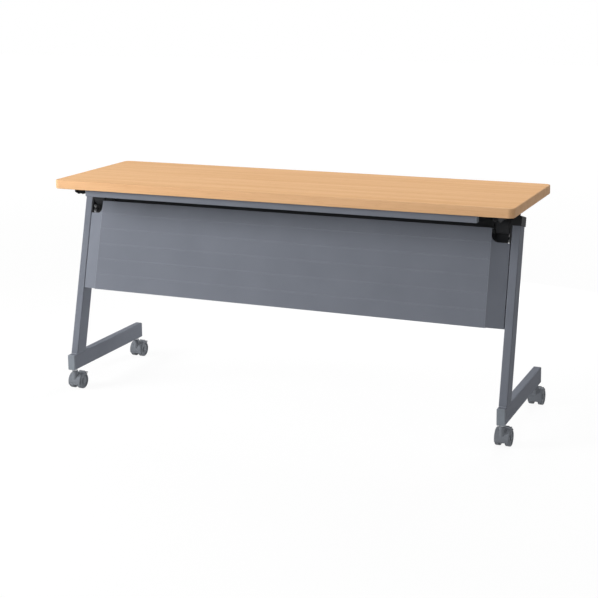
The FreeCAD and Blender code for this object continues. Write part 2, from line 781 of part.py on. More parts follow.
def make_hood(x, stem_y):
    """The caster's body: a rounded guard over both wheels, a web between them, a boss for the stem and
    two lugs for the pedal."""
    axle_y = stem_y + caster_trail
    half_width = wheel_gap / 2 + wheel_width
    half_web = wheel_gap / 2 - wheel_side_clearance
    guard = rod_x(x - half_width, x + half_width, axle_y, wheel_radius, hood_radius)
    guard = round_edges(guard, [e for e in guard.Edges if isinstance(e.Curve, Part.Circle)], hood_round)
    reach = 2 * hood_radius
    front_drop = math.radians(hood_front_drop_deg)
    back_lift = math.radians(hood_back_lift_deg)
    x0 = x - half_width - overcut
    below = [
        V(x0, axle_y, wheel_radius),
        V(x0, axle_y - reach * math.cos(front_drop), wheel_radius - reach * math.sin(front_drop)),
        V(x0, axle_y - reach, wheel_radius - reach),
        V(x0, axle_y + reach, wheel_radius - reach),
        V(x0, axle_y + reach * math.cos(back_lift), wheel_radius + reach * math.sin(back_lift)),
    ]
    guard = guard.cut(prism(below, V(2 * (half_width + overcut), 0, 0)))
    boss_top = caster_height - hood_boss_gap
    boss = rod_z(x, stem_y, wheel_radius, boss_top, hood_boss_radius)
    rim = [e for e in boss.Edges if isinstance(e.Curve, Part.Circle) and e.BoundBox.ZMin > wheel_radius]
    hood = guard.fuse(round_edges(boss, rim, hood_boss_round))
    y, z = pedal_pivot(axle_y)
    inner = pedal_hub_length / 2 + pedal_clearance
    outer = inner + pedal_lug_width
    lugs = [rod_x(x0, x0 + pedal_lug_width, y, z, pedal_lug_radius) for x0 in (x - outer, x + inner)]
    pocket = rod_x(x - inner, x + inner, y, z, pedal_hub_radius + pedal_clearance)
    pin_hole = rod_x(x - outer, x + outer, y, z, pedal_pin_radius + pedal_pin_clearance)
    hood = hood.fuse(lugs).cut([pocket, pin_hole])
    well = wheel_radius + hood_wheel_gap
    sides = ((x - half_width - overcut, x - half_web), (x + half_web, x + half_width + overcut))
    hood = hood.cut([rod_x(x0, x1, axle_y, wheel_radius, well) for x0, x1 in sides])
    hood = hood.fuse(rod_x(x - half_web, x + half_web, axle_y, wheel_radius, hood_web_radius))
    stem_bore = rod_z(x, stem_y, boss_top - stem_depth, boss_top + overcut, stem_radius + stem_clearance)
    axle_bore = rod_x(x - half_web, x + half_web, axle_y, wheel_radius, axle_radius)
    return hood.cut([stem_bore, axle_bore]).removeSplitter()


def make_wheel(x, axle_y, side):
    """One wheel of a twin pair: a dished disc with a rounded tread and a raised hub."""
    inner = x + side * wheel_gap / 2
    outer = inner + side * wheel_width
    x0 = min(inner, outer)
    x1 = max(inner, outer)
    wheel = rod_x(x0, x1, axle_y, wheel_radius, wheel_radius)
    wheel = round_edges(wheel, [e for e in wheel.Edges if isinstance(e.Curve, Part.Circle)], wheel_round)
    dish_radius = wheel_radius - wheel_rim_width
    floor = outer - side * wheel_dish_depth
    dish = rod_x(min(floor, outer), max(floor, outer), axle_y, wheel_radius, dish_radius)
    hub = rod_x(min(floor, outer), max(floor, outer), axle_y, wheel_radius, wheel_hub_radius)
    wheel = wheel.cut(dish.cut(hub))
    return wheel.cut(rod_x(x0, x1, axle_y, wheel_radius, axle_radius + axle_clearance))


def make_pedal(x, axle_y):
    """A brake pedal on stub pins behind the hood, drawn pressed down."""
    y, z = pedal_pivot(axle_y)
    half_hub = pedal_hub_length / 2
    pin_half = half_hub + pedal_clearance + pedal_lug_width
    hub = rod_x(x - half_hub, x + half_hub, y, z, pedal_hub_radius)
    pin = rod_x(x - pin_half, x + pin_half, y, z, pedal_pin_radius)
    half_plate = pedal_thickness / 2
    neck = box(x - half_hub, x + half_hub, y, y + pedal_length, z - half_plate, z + half_plate)
    plate_start = y + pedal_lug_radius + pedal_clearance
    half_width = pedal_width / 2
    plate = round_box(
        x - half_width, x + half_width, plate_start, y + pedal_length,
        z - half_plate, z + half_plate, pedal_corner_round, Z_AXIS)
    blade = neck.fuse(plate).rotated(V(x, y, z), X_AXIS, -pedal_droop_deg)
    return hub.fuse([pin, blade])


def make_casters():
    """Four alike twin-wheel casters, each with a brake pedal."""
    for side_name, side in (("left", -1), ("right", 1)):
        for end, stem_y in stem_places.items():
            x = side * leg_middle
            axle_y = stem_y + caster_trail
            name = end + "_" + side_name
            save("caster_hood_" + name, make_hood(x, stem_y))
            half_axle = wheel_gap / 2 + wheel_width - axle_inset
            axle = rod_x(x - half_axle, x + half_axle, axle_y, wheel_radius, axle_radius)
            save("caster_axle_" + name, axle)
            save("caster_wheel_" + name + "_a", make_wheel(x, axle_y, -1))
            save("caster_wheel_" + name + "_b", make_wheel(x, axle_y, 1))
            save("brake_pedal_" + name, make_pedal(x, axle_y))


os.makedirs("parts", exist_ok=True)
make_top()
make_rail()
make_arms()
make_wood_screws()
make_castings()
make_bushes()
make_hinge_covers()
make_locks()
make_beam()
make_uprights()
make_feet()
make_panel()
make_covers()
make_stems()
make_casters()
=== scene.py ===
# %% [markdown]
# Conference table with a flip-up top
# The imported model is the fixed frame: its pieces keep their shapes and places. This script gives every
# piece a finish, and adds small forms that the solids leave out: hub caps on the wheels, weld beads at
# the legs, and the driven faces of the screws and bolts.

# %% Load the frame
import json
import math

import bmesh
import bpy
import numpy as np
from mathutils import Matrix, Vector

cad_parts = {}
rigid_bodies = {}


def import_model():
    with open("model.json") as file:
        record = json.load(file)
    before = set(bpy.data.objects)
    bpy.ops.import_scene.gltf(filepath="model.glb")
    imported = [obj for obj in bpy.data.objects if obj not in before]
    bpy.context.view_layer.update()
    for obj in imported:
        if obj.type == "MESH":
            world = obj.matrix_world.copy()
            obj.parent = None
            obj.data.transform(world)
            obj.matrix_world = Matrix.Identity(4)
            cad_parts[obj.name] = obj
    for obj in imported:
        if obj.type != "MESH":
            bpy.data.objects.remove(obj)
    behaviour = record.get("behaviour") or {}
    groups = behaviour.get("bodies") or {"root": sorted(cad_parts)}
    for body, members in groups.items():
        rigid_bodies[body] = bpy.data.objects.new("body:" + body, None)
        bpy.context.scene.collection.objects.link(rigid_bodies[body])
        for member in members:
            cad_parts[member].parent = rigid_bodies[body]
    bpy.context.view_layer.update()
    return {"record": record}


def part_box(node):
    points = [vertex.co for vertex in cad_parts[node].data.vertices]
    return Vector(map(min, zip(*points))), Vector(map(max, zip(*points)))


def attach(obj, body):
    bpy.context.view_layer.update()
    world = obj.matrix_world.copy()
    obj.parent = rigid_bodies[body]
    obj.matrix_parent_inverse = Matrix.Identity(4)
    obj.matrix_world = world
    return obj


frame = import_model()

# %% [markdown]
# Colours
# A colour is easiest to judge as it looks on a screen, from 0 to 255, but shaders add up light, which
# needs linear values. One small function turns the first into the second, so that every colour below
# can be written the way a person would pick it.


# %% Colours
curve_foot = 0.04045
curve_slope = 12.92
curve_offset = 0.055
curve_power = 2.4
WHITE = (1.0, 1.0, 1.0, 1.0)


def screen(red, green, blue):
    """A linear colour from screen values: the usual display curve, a short straight foot and a power."""
    linear = []
    for value in (red / 255, green / 255, blue / 255):
        foot = value / curve_slope
        bend = ((value + curve_offset) / (1 + curve_offset)) ** curve_power
        linear.append(foot if value <= curve_foot else bend)
    return tuple(linear) + (1.0,)


print("mid grey in linear light:", [round(v, 3) for v in screen(128, 128, 128)])

# %% [markdown]
# Building blocks for node groups
# The finishes share a few effects. Each effect is a node group with named sockets, built once, so that
# a change to it reaches every material. These helpers make the group, a noise, a stretched place and a
# mix of two colours, which is all that the groups below are made from.


# %% Building blocks for node groups
def new_group(name, inputs, outputs):
    """A node group with named sockets, and its input and output nodes."""
    group = bpy.data.node_groups.new(name, "ShaderNodeTree")
    for socket, kind in inputs:
        group.interface.new_socket(name=socket, in_out="INPUT", socket_type="NodeSocket" + kind)
    for socket, kind in outputs:
        group.interface.new_socket(name=socket, in_out="OUTPUT", socket_type="NodeSocket" + kind)
    return group, group.nodes.new("NodeGroupInput"), group.nodes.new("NodeGroupOutput")


def stretched(group, scale):
    """Object coordinates stretched by a scale on each axis."""
    place = group.nodes.new("ShaderNodeTexCoord")
    mapping = group.nodes.new("ShaderNodeMapping")
    mapping.inputs["Scale"].default_value = scale
    group.links.new(place.outputs["Object"], mapping.inputs["Vector"])
    return mapping.outputs["Vector"]


def add_noise(group, vector, detail, roughness):
    """A noise node fed by a vector."""
    noise = group.nodes.new("ShaderNodeTexNoise")
    noise.inputs["Detail"].default_value = detail
    noise.inputs["Roughness"].default_value = roughness
    group.links.new(vector, noise.inputs["Vector"])
    return noise


def add_range(group, value, from_ends, to_ends):
    """A value carried from one range to another, and held at its ends."""
    spread = group.nodes.new("ShaderNodeMapRange")
    spread.inputs["From Min"].default_value, spread.inputs["From Max"].default_value = from_ends
    spread.inputs["To Min"].default_value, spread.inputs["To Max"].default_value = to_ends
    group.links.new(value, spread.inputs["Value"])
    return spread.outputs["Result"]


def add_mix(group, factor, first, second):
    """A mix of two colours by a factor."""
    mix = group.nodes.new("ShaderNodeMix")
    mix.data_type = "RGBA"
    colour_a, colour_b = [s for s in mix.inputs if s.type == "RGBA"]
    group.links.new(factor, mix.inputs["Factor"])
    group.links.new(first, colour_a)
    group.links.new(second, colour_b)
    return next(s for s in mix.outputs if s.type == "RGBA")


EVEN = (1.0, 1.0, 1.0)

# %% [markdown]
# Soft edges
# Folded sheet and cut tube have edges rounded by less than a millimetre, too small to model. A Bevel
# node averages the normals around a point, so an edge catches the light as a rounded one does. Where
# that normal leaves the true one there is an edge, and that makes a mask for paint worn thin and for a
# painted highlight along the edge.


# %% Soft edges
# The mask starts at a slight turn, so the panel's shallow ribs take it too and their crests get a
# painted highlight.
edge_mask_cosines = (0.998, 0.96)


def make_soft_edge():
    """The averaged normal within a radius, and a mask that rises as it turns away from the true one."""
    group, ins, outs = new_group(
        "Soft Edge", [("Radius", "Float")], [("Normal", "Vector"), ("Edge", "Float")])
    bevel = group.nodes.new("ShaderNodeBevel")
    group.links.new(ins.outputs["Radius"], bevel.inputs["Radius"])
    surface = group.nodes.new("ShaderNodeNewGeometry")
    cosine = group.nodes.new("ShaderNodeVectorMath")
    cosine.operation = "DOT_PRODUCT"
    group.links.new(bevel.outputs["Normal"], cosine.inputs[0])
    group.links.new(surface.outputs["Normal"], cosine.inputs[1])
    group.links.new(bevel.outputs["Normal"], outs.inputs["Normal"])
    edge = add_range(group, cosine.outputs["Value"], edge_mask_cosines, (0, 1))
    group.links.new(edge, outs.inputs["Edge"])
    return group


soft_edge_group = make_soft_edge()
print("group:", soft_edge_group.name)

# %% [markdown]
# Mottle
# No paint or plastic is one even colour: it is a little lighter and darker over a hand's breadth, and
# its gloss varies with it. Its edges are paler, partly from wear and partly as a painted highlight where
# a rounded edge would catch the light. This group mixes two colours by a broad noise and adds a third
# along the edges.


# %% Mottle
mottle_detail = 3
mottle_roughness = 0.5


def make_mottle():
    """Two colours mixed by a noise, and a third laid over them where the edge mask says."""
    group, ins, outs = new_group(
        "Mottle",
        [("Light", "Color"), ("Dark", "Color"), ("Wear And Highlight", "Color"),
         ("Scale", "Float"), ("Edge", "Float")],
        [("Color", "Color"), ("Value", "Float")])
    broad = add_noise(group, stretched(group, EVEN), mottle_detail, mottle_roughness)
    group.links.new(ins.outputs["Scale"], broad.inputs["Scale"])
    blend = add_mix(group, broad.outputs["Fac"], ins.outputs["Light"], ins.outputs["Dark"])
    # The third colour along the edges is partly wear and partly a painted highlight.
    wear_and_highlight = add_mix(group, ins.outputs["Edge"], blend, ins.outputs["Wear And Highlight"])
    group.links.new(wear_and_highlight, outs.inputs["Color"])
    group.links.new(broad.outputs["Fac"], outs.inputs["Value"])
    return group


mottle_group = make_mottle()
print("group:", mottle_group.name)

# %% [markdown]
# Surface grain
# Powder coat has the skin of an orange, moulded plastic a fine spark-eroded grain. Both are a height
# that varies over a millimetre or less, so they are a bump and not geometry. The bump starts from the
# softened normal, which keeps the rounded edges.


# %% Surface grain
grain_detail = 2
grain_roughness = 0.6
grain_height = 0.001


def make_grain():
    """A noise as a small height on top of a normal."""
    group, ins, outs = new_group(
        "Surface Grain", [("Scale", "Float"), ("Depth", "Float"), ("Normal", "Vector")],
        [("Normal", "Vector")])
    noise = add_noise(group, stretched(group, EVEN), grain_detail, grain_roughness)
    group.links.new(ins.outputs["Scale"], noise.inputs["Scale"])
    bump = group.nodes.new("ShaderNodeBump")
    bump.inputs["Distance"].default_value = grain_height
    group.links.new(ins.outputs["Depth"], bump.inputs["Strength"])
    group.links.new(noise.outputs["Fac"], bump.inputs["Height"])
    group.links.new(ins.outputs["Normal"], bump.inputs["Normal"])
    group.links.new(bump.outputs["Normal"], outs.inputs["Normal"])
    return group


grain_group = make_grain()
print("group:", grain_group.name)

# %% [markdown]
# Wood figure
# The top is a pale straight-grained woodgrain. Its figure runs along the length: broad soft bands, fine
# lines inside them, and short dark flecks. Three noises stretched along X give these, each finer than
# the last, because a noise that is squeezed across and drawn out along reads as grain.


# %% Wood figure
band_stretch = (1.4, 42, 42)
band_detail = 4
band_roughness = 0.55
band_waviness = 0.4
band_noise_ends = (0.25, 0.75)
band_weight = 0.7
line_stretch = (5, 520, 520)
line_detail = 2
line_roughness = 0.6
line_noise_ends = (0.35, 0.7)
line_weight = 0.3
fleck_stretch = (34, 520, 520)
fleck_detail = 1
fleck_roughness = 0.4
fleck_noise_ends = (0.60, 0.76)


def make_wood():
    """Wood figure along X: broad bands and fine lines between two colours, with flecks of a third."""
    group, ins, outs = new_group(
        "Wood Figure",
        [("Light", "Color"), ("Dark", "Color"), ("Fleck", "Color"), ("Fleck Share", "Float")],
        [("Color", "Color"), ("Value", "Float")])
    bands = add_noise(group, stretched(group, band_stretch), band_detail, band_roughness)
    bands.inputs["Scale"].default_value = 1.0
    bands.inputs["Distortion"].default_value = band_waviness
    lines = add_noise(group, stretched(group, line_stretch), line_detail, line_roughness)
    lines.inputs["Scale"].default_value = 1.0
    figure = group.nodes.new("ShaderNodeMath")
    figure.operation = "ADD"
    soft_bands = add_range(group, bands.outputs["Fac"], band_noise_ends, (0, band_weight))
    soft_lines = add_range(group, lines.outputs["Fac"], line_noise_ends, (0, line_weight))
    group.links.new(soft_bands, figure.inputs[0])
    group.links.new(soft_lines, figure.inputs[1])
    flecks = add_noise(group, stretched(group, fleck_stretch), fleck_detail, fleck_roughness)
    flecks.inputs["Scale"].default_value = 1.0
    fleck_mask = add_range(group, flecks.outputs["Fac"], fleck_noise_ends, (0, 1))
    share = group.nodes.new("ShaderNodeMath")
    share.operation = "MULTIPLY"
    group.links.new(fleck_mask, share.inputs[0])
    group.links.new(ins.outputs["Fleck Share"], share.inputs[1])
    grain = add_mix(group, figure.outputs["Value"], ins.outputs["Light"], ins.outputs["Dark"])
    group.links.new(
        add_mix(group, share.outputs["Value"], grain, ins.outputs["Fleck"]), outs.inputs["Color"])
    group.links.new(figure.outputs["Value"], outs.inputs["Value"])
    return group


wood_group = make_wood()
print("group:", wood_group.name)

# %% [markdown]
# Putting a finish together
# A material is one shader with the groups wired into it. The helpers below make the shader, place a
# group with its values, and let the gloss follow the colour's noise, because a patch of paint that is
# thicker is also smoother. Reflection is held low throughout, as the finishes in the photo are dull.


# %% Putting a finish together
matt_level = 0.18
soft_edge_radius = 0.0006
mottle_scale = 9.0


def new_material(name):
    """An empty node material, its tree and its shader."""
    mat = bpy.data.materials.new(name)
    mat.use_nodes = True
    return mat, mat.node_tree, mat.node_tree.nodes["Principled BSDF"]


def use_group(tree, group, values):
    """A group node with its inputs set."""
    node = tree.nodes.new("ShaderNodeGroup")
    node.node_tree = group
    for socket, value in values.items():
        node.inputs[socket].default_value = value
    return node


def add_skin(tree, shader, edge_radius, grain, depth):
    """Soft edges and a fine grain on the shader's normal; gives back the soft-edge node."""
    soft = use_group(tree, soft_edge_group, {"Radius": edge_radius})
    skin = use_group(tree, grain_group, {"Scale": grain, "Depth": depth})
    tree.links.new(soft.outputs["Normal"], skin.inputs["Normal"])
    tree.links.new(skin.outputs["Normal"], shader.inputs["Normal"])
    return soft


def make_finish(
        name, light, dark, wear_and_highlight, gloss, grain, depth,
        edge_radius=soft_edge_radius, metal=0.0, mottle=mottle_scale):
    """A painted, moulded or bare finish: mottled colour, uneven gloss, edges paler from wear and from a
    painted highlight, and a fine grain.
    """
    mat, tree, shader = new_material(name)
    soft = add_skin(tree, shader, edge_radius, grain, depth)
    colour = use_group(
        tree, mottle_group, {"Light": light, "Dark": dark, "Wear And Highlight": wear_and_highlight, "Scale": mottle})
    tree.links.new(soft.outputs["Edge"], colour.inputs["Edge"])
    tree.links.new(colour.outputs["Color"], shader.inputs["Base Color"])
    tree.links.new(
        add_range(tree, colour.outputs["Value"], (0, 1), gloss), shader.inputs["Roughness"])
    shader.inputs["Metallic"].default_value = metal
    shader.inputs["Specular IOR Level"].default_value = matt_level
    return mat


materials = {}

# %% [markdown]
# Woodgrain laminate and edge band
# The top's printed laminate is thin and hard, with a low sheen. The plastic band round its edge is
# printed to match, a little less yellow, with fewer flecks. One function makes both from the wood
# figure.


# %% Woodgrain laminate and edge band
pore_scale = 900.0
pore_depth = 0.05
print_edge_radius = 0.0004


def make_timber(name, light, dark, fleck, fleck_share, gloss):
    """A printed woodgrain with a faint pore texture."""
    mat, tree, shader = new_material(name)
    figure = use_group(
        tree, wood_group, {"Light": light, "Dark": dark, "Fleck": fleck, "Fleck Share": fleck_share})
    tree.links.new(figure.outputs["Color"], shader.inputs["Base Color"])
    tree.links.new(
        add_range(tree, figure.outputs["Value"], (0, 1), gloss), shader.inputs["Roughness"])
    shader.inputs["Specular IOR Level"].default_value = matt_level
    add_skin(tree, shader, print_edge_radius, pore_scale, pore_depth)
    return mat


materials["beech_laminate"] = make_timber(
    "beech_laminate", screen(236, 188, 136), screen(218, 165, 111), screen(200, 145, 94),
    fleck_share=0.55, gloss=(0.5, 0.62))
materials["beech_edge"] = make_timber(
    "beech_edge", screen(224, 181, 138), screen(208, 161, 116), screen(194, 145, 101),
    fleck_share=0.3, gloss=(0.54, 0.66))
print("woodgrain finishes made")

# %% [markdown]
# Board and backing
# Under the laminate lies chipboard, which shows as pressed chips of several browns, so its mottle is
# fine. The underside has a plain grey backing sheet that keeps the board from bowing.

# %% Board and backing
materials["particle_board"] = make_finish(
    "particle_board", screen(206, 180, 142), screen(166, 136, 98), screen(196, 168, 130),
    gloss=(0.8, 0.95), grain=600.0, depth=0.5, mottle=220.0)
materials["backing_laminate"] = make_finish(
    "backing_laminate", screen(176, 176, 174), screen(160, 160, 158), screen(182, 182, 180),
    gloss=(0.5, 0.65), grain=700.0, depth=0.1)
print("board finishes made")

# %% [markdown]
# Powder-coated steel
# Legs, feet, panel, covers and rail are grey powder coat with a cool tint; the arms, castings, plates
# and beam are the same coat in black. Both are dull, with an orange-peel skin. The grey one is much
# paler along its edges, a little from wear but mostly as a painted highlight, which draws the panel's
# ribs as fine light lines where their crests would catch the light.

# %% Powder-coated steel
# The third colour, far paler than the other two, is mostly a painted highlight along edges and rib
# crests.
materials["grey_paint"] = make_finish(
    "grey_paint", screen(118, 122, 131), screen(109, 113, 122), screen(156, 160, 168),
    gloss=(0.66, 0.78), grain=850.0, depth=0.12, edge_radius=0.0011)
materials["black_paint"] = make_finish(
    "black_paint", screen(42, 43, 45), screen(34, 35, 37), screen(58, 59, 61),
    gloss=(0.56, 0.68), grain=850.0, depth=0.14)
print("paint finishes made")

# %% [markdown]
# Moulded plastics and rubber
# End caps and casters are moulded in greys near the paint, leg caps and locks in black. Bushes are black
# nylon, and the stops are rubber, which is the dullest of all.

# %% Moulded plastics and rubber
materials["black_plastic"] = make_finish(
    "black_plastic", screen(42, 43, 44), screen(34, 35, 36), screen(54, 55, 56),
    gloss=(0.64, 0.78), grain=1400.0, depth=0.2)
materials["grey_plastic"] = make_finish(
    "grey_plastic", screen(132, 138, 145), screen(124, 130, 137), screen(144, 150, 156),
    gloss=(0.5, 0.64), grain=1400.0, depth=0.15)
materials["caster_plastic"] = make_finish(
    "caster_plastic", screen(122, 126, 132), screen(112, 116, 122), screen(134, 138, 144),
    gloss=(0.45, 0.6), grain=1400.0, depth=0.16)
materials["nylon"] = make_finish(
    "nylon", screen(50, 50, 51), screen(42, 42, 43), screen(60, 60, 61),
    gloss=(0.4, 0.55), grain=1000.0, depth=0.1)
materials["black_rubber"] = make_finish(
    "black_rubber", screen(38, 38, 38), screen(30, 30, 30), screen(46, 46, 46),
    gloss=(0.7, 0.85), grain=1100.0, depth=0.3)
print("moulded finishes made")

# %% [markdown]
# Bright steel
# Screws, bolts, axles and stems are zinc-plated: metal through and through, with a soft cloudy sheen.

# %% Bright steel
materials["bright_steel"] = make_finish(
    "bright_steel", screen(196, 197, 199), screen(176, 177, 180), screen(210, 211, 213),
    gloss=(0.26, 0.42), grain=1800.0, depth=0.08, edge_radius=0.0003, metal=1.0, mottle=60.0)
print("materials:", len(materials))

# %% [markdown]
# Giving each piece its finish
# The record names a material slot for every piece, and the materials have the slots' names, so one loop
# dresses the whole frame.

# %% Giving each piece its finish
for part in frame["record"]["subparts"]:
    mesh = bpy.data.objects[part["node"]].data
    mesh.materials.clear()
    mesh.materials.append(materials[part["material_slot"]])

# %% [markdown]
# Surfaces from grids
# The added forms are all alike in one way: rings of points that start at a pole, swell, and close at
# another pole. A ring is a closed line of columns and the rings are rows, so a whole shape is one array,
# and its faces join each point to its neighbours. Several alike shapes may share one mesh.


# %% Surfaces from grids
pole_distance = 1e-6


def ring_faces(count, rows, columns):
    """Four-sided faces of some closed-round grids: each joins a point, its neighbour in the ring, and
    the same two in the next ring."""
    shape, row, column = np.meshgrid(
        np.arange(count), np.arange(rows - 1), np.arange(columns), indexing="ij")
    near = (shape * rows + row) * columns
    far = near + columns
    after = (column + 1) % columns
    return np.stack([near + column, near + after, far + after, far + column], -1).reshape(-1, 4)


def add_piece(name, points, slot, body):
    """A mesh from grids of points (shape, ring, column, place), its poles closed, riding on a body."""
    count, rows, columns = points.shape[:3]
    mesh = bpy.data.meshes.new(name)
    mesh.from_pydata(points.reshape(-1, 3).tolist(), [], ring_faces(count, rows, columns).tolist())
    work = bmesh.new()
    work.from_mesh(mesh)
    bmesh.ops.remove_doubles(work, verts=work.verts, dist=pole_distance)
    bmesh.ops.recalc_face_normals(work, faces=work.faces)
    work.to_mesh(mesh)
    work.free()
    mesh.polygons.foreach_set("use_smooth", np.ones(len(mesh.polygons), dtype=bool))
    mesh.materials.append(materials[slot])
    piece = bpy.data.objects.new(name, mesh)
    bpy.context.scene.collection.objects.link(piece)
    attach(piece, body)
    return piece


def turn_grid(rows, columns):
    """A grid of shares from 0 to 1 along the rows, and of angles once round along the columns."""
    share = np.linspace(0, 1, rows)
    angle = np.linspace(0, 2 * np.pi, columns, endpoint=False)
    return np.meshgrid(share, angle, indexing="ij")


# %% [markdown]
# Domes
# Hub caps and screw heads are shallow domes that sit on a flat face. A dome is a height over a disc, and
# a flat base, sunk a little into that face, closes it. Three directions then say which way it looks.


# %% Domes
X, Y, Z = 0, 1, 2


def closed_dome(height, share, angle, radius, sink):
    """Rings from the middle of a disc to its rim at a height, and a flat base below the face: for each
    point the place out of the face and the two places across it."""
    base = np.array([[1.0], [0.0]]) * np.ones_like(angle[:2])
    reach = radius * np.concatenate([share, base])
    turn = np.concatenate([angle, angle[:2]])
    out = np.concatenate([height, np.full_like(base, -sink)])
    return np.stack([out, reach * np.cos(turn), reach * np.sin(turn)], -1)


def facing(axis, side):
    """Three directions, as rows: out of a face that looks along an axis, and across it both ways."""
    rows = np.roll(np.eye(3), -axis, axis=0)
    rows[0] *= side
    return rows


# %% [markdown]
# Hub caps
# A small cap is pressed into the hub of each wheel and hides the end of the axle. It could be a cylinder
# with a bevel, but a real one is a shallow dome with a pressed ring, so its height is a formula of the
# distance from the middle. Each cap rides on its own wheel.

# %% Hub caps
cap_radius = 0.0084
cap_rise = 0.0011
cap_sink = 0.0003
cap_ring_place = 0.62
cap_ring_width = 0.06
cap_ring_depth = 0.00028
cap_rows = 24
cap_columns = 48


def hub_cap(tail, side):
    """A dome whose height is the rise times the root of one less the distance squared, with a
    bell-shaped ring pressed in."""
    low, high = np.array(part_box("caster_wheel_" + tail))
    middle = (low + high) / 2
    middle[X] = high[X] if side > 0 else low[X]
    share, angle = turn_grid(cap_rows, cap_columns)
    ring = cap_ring_depth * np.exp(-(((share - cap_ring_place) / cap_ring_width) ** 2))
    height = cap_rise * np.sqrt(1 - share**2) - ring
    points = middle + closed_dome(height, share, angle, cap_radius, cap_sink) @ facing(X, side)
    return add_piece("hub_cap_" + tail, points[None], "caster_plastic", "wheel_" + tail)


caster_places = [end + "_" + hand for end in ("front", "rear") for hand in ("left", "right")]
for place in caster_places:
    for letter, side in (("a", -1), ("b", 1)):
        hub_cap(place + "_" + letter, side)
print("hub caps:", 2 * len(caster_places))

# %% [markdown]
# Weld beads
# Each leaning leg is welded to its foot across the front and the back. A weld is a rope of metal laid in
# small steps, so the bead is a round section carried along a line, whose radius ripples and runs out at
# both ends. Half of it is buried in the corner between the two tubes.

# %% Weld beads
bead_radius = 0.0016
bead_inset = 0.003
bead_ripples = 14
bead_ripple_depth = 0.12
bead_end_power = 8
bead_rows = 80
bead_columns = 16


def weld_bead(name, start, end):
    """A round section carried from one point to another: the radius ripples as a sine, times the root of
    one less a high power of the distance from the middle, which closes both ends."""
    share, angle = turn_grid(bead_rows, bead_columns)
    ripple = 1 + bead_ripple_depth * np.sin(2 * np.pi * bead_ripples * share)
    radius = bead_radius * ripple * np.sqrt(1 - (2 * share - 1) ** bead_end_power)
    line = np.array(start) + share[..., None] * (np.array(end) - np.array(start))
    section = np.stack([np.zeros_like(angle), radius * np.cos(angle), radius * np.sin(angle)], -1)
    return add_piece(name, (line + section)[None], "grey_paint", "frame")


for hand in ("left", "right"):
    leg = bpy.data.objects["upright_" + hand].data
    corners = np.empty(3 * len(leg.vertices))
    leg.vertices.foreach_get("co", corners)
    corners = corners.reshape(-1, 3)
    weld_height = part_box("foot_" + hand)[1][Z]
    seam = corners[corners[:, Z] < weld_height + bead_radius]
    x0, x1 = seam[:, X].min() + bead_inset, seam[:, X].max() - bead_inset
    for place, y in (("front", seam[:, Y].min()), ("back", seam[:, Y].max())):
        weld_bead("weld_" + place + "_" + hand, (x0, y, weld_height), (x1, y, weld_height))
print("weld beads: 4")

# %% [markdown]
# Screw and bolt heads
# The solids have plain heads. A real head is a low dome with a recess for the tool: a cross in the wood
# screws and panel screws, a hexagon in the beam bolts. Each node holds several screws, so the script
# first finds the separate solids in its mesh and lays a dome on the head of each.

# %% Screw and bolt heads
head_rise = 0.0008
head_floor = 0.00008
head_sink = 0.0002
head_rows = 18
head_columns = 48
wood_head_radius = 0.0036
panel_head_radius = 0.0040
bolt_head_radius = 0.0047
cross_reach = 0.62
cross_width = 0.15
hexagon_reach = 0.52
recess_power = 8
weld_distance = 1e-5


def solid_boxes(node):
    """The lowest and highest corner of each separate solid in a node: starting from one point, all that
    can be reached along edges is one solid."""
    work = bmesh.new()
    work.from_mesh(bpy.data.objects[node].data)
    bmesh.ops.remove_doubles(work, verts=work.verts, dist=weld_distance)
    waiting = dict.fromkeys(work.verts)
    boxes = []
    while waiting:
        reached = [waiting.popitem()[0]]
        for vert in reached:
            for edge in vert.link_edges:
                other = edge.other_vert(vert)
                if other in waiting:
                    del waiting[other]
                    reached.append(other)
        corners = np.array([vert.co for vert in reached])
        boxes.append((corners.min(0), corners.max(0)))
    work.free()
    return boxes


def cross_recess(u, v):
    """One inside two crossed bars, none outside: a bell with a flat top along and across each bar."""
    first = (u / cross_reach) ** recess_power + (v / cross_width) ** recess_power
    second = (v / cross_reach) ** recess_power + (u / cross_width) ** recess_power
    return np.exp(-np.minimum(first, second))


def hexagon_recess(u, v):
    """One inside a hexagon, none outside: the largest distance along its three pairs of flats."""
    turns = np.radians([0, 60, 120])
    flats = [np.abs(u * np.cos(turn) + v * np.sin(turn)) for turn in turns]
    return np.exp(-((np.max(flats, axis=0) / hexagon_reach) ** recess_power))


def drive_heads(name, node, axis, radius, recess, body):
    """Low domes on the heads of the screws in a node. The height is a parabola, drawn down to a floor
    where the recess is. The head of a level screw looks to the table's middle, that of an upright one
    down."""
    share, angle = turn_grid(head_rows, head_columns)
    inside = recess(share * np.cos(angle), share * np.sin(angle))
    dome = head_rise * (1 - share**2)
    height = dome - inside * np.maximum(dome - head_floor, 0)
    local = closed_dome(height, share, angle, radius, head_sink)
    heads = []
    for low, high in solid_boxes(node):
        middle = (low + high) / 2
        side = 1 if axis == X and middle[X] < 0 else -1
        middle[axis] = high[axis] if side > 0 else low[axis]
        heads.append(middle + local @ facing(axis, side))
    return add_piece(name, np.array(heads), "bright_steel", body)


drive_heads("wood_screw_heads", "wood_screws", Z, wood_head_radius, cross_recess, "top")
drive_heads("panel_screw_heads", "panel_screws", X, panel_head_radius, cross_recess, "frame")
drive_heads("beam_bolt_heads", "beam_bolts", X, bolt_head_radius, hexagon_recess, "frame")
print("screw and bolt heads laid on")

# %% [markdown]
# Surround
# The photograph has a plain white ground and soft light that comes from the left, so the surround is
# brighter on the left than on the right. Rays from the camera see plain white instead, and so do
# reflected and refracted rays, so that the ground is white whatever light the object gets and metal
# shows that ground too.


